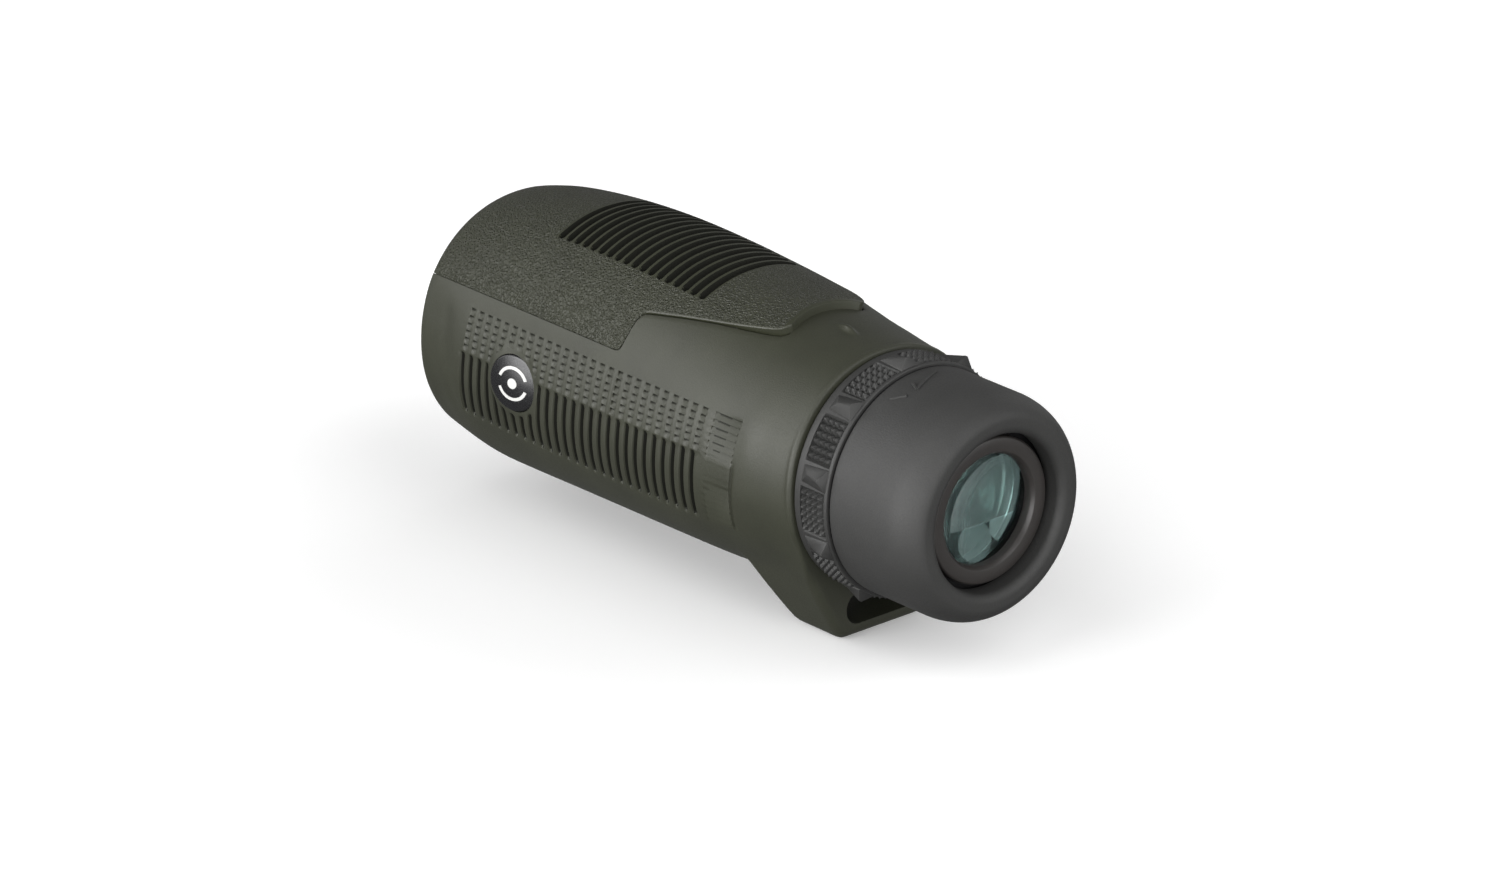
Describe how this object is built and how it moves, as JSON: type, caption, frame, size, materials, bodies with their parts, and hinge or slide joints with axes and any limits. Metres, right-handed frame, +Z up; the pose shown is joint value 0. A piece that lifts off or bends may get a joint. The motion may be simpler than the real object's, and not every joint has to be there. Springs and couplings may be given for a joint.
{
  "type": "monocular",
  "caption": "Hand-held roof-prism monocular with ribbed rubber armour, a strap lug, a knurled focus ring and a twist-up rubber eyecup.",
  "frame": {"origin": "centre of the objective rim, on the optical axis", "axes": "+Y along the optical axis towards the scene viewed, -Y towards the eye, +Z up with the strap lug below, +X to the user's right"},
  "size_m": [0.0502, 0.124, 0.0566],
  "materials": {
    "armor_side": "satin moulded rubber",
    "armor_top": "pebbled moulded rubber",
    "grip_rubber": "matte moulded rubber",
    "eyecup_rubber": "satin rubber",
    "badge": "glossy dome",
    "chassis": "black anodised",
    "black_part": "matte black",
    "black_metal": "black anodised, satin",
    "ring_brown": "brownish black anodised, satin",
    "seal": "black nitrile",
    "glass": "clear, coated",
    "steel": "bright",
    "bronze": "spring bronze",
    "slider": "natural acetal",
    "pad": "cork and rubber"
  },
  "bodies": {
    "housing": {"chassis": "chassis", "objective_tube": "black_metal", "side_armor": "armor_side", "top_armor": "armor_top", "badge": "badge", "objective_crown": "glass", "objective_flint": "glass", "objective_oring": "seal", "objective_lock_ring": "black_metal", "light_baffle": "black_part", "prism_cage": "black_metal", "roof_prism": "glass", "half_penta_prism": "glass", "prism_spring": "bronze", "prism_screws": "steel", "prism_pads": "pad", "purge_screw": "steel", "thrust_washer": "slider", "focus_oring": "seal", "focus_circlip": "steel"},
    "focus_ring": {"focus_ring_core": "black_metal", "focus_ring_grip": "grip_rubber"},
    "ocular": {"ocular_tube": "black_metal", "ocular_oring": "seal", "focus_drive_pin": "steel", "field_stop": "black_metal", "spacer_front": "black_metal", "field_lens": "glass", "spacer_middle": "black_metal", "eyepiece_crown": "glass", "eyepiece_flint": "glass", "spacer_rear": "black_metal", "eye_lens": "glass", "eyepiece_ring": "ring_brown"},
    "eyecup_guide": {"eyecup_slider": "slider"},
    "eyecup": {"eyecup_sleeve": "black_part", "eyecup_rubber": "eyecup_rubber", "eyecup_pins": "steel", "eyecup_clip": "steel"}
  },
  "joints": [
    {"name": "focus_turn", "type": "hinge", "parent": "housing", "child": "focus_ring", "pos_m": [0, -0.1, 0], "axis": [0, -1, 0], "range_deg": [0, 270]},
    {"name": "focus_slide", "type": "slide", "parent": "housing", "child": "ocular", "axis": [0, -1, 0], "range_m": [0, 0.003]},
    {"name": "eyecup_slide", "type": "slide", "parent": "ocular", "child": "eyecup_guide", "axis": [0, -1, 0], "range_m": [0, 0.0065]},
    {"name": "eyecup_turn", "type": "hinge", "parent": "eyecup_guide", "child": "eyecup", "pos_m": [0, -0.107, 0], "axis": [0, -1, 0], "range_deg": [0, 100]}
  ],
  "couplings": [
    {"joint": "focus_turn", "follows": "focus_slide", "rad_per_m": 1570.8},
    {"joint": "eyecup_turn", "follows": "eyecup_slide", "rad_per_m": 268.51}
  ]
}
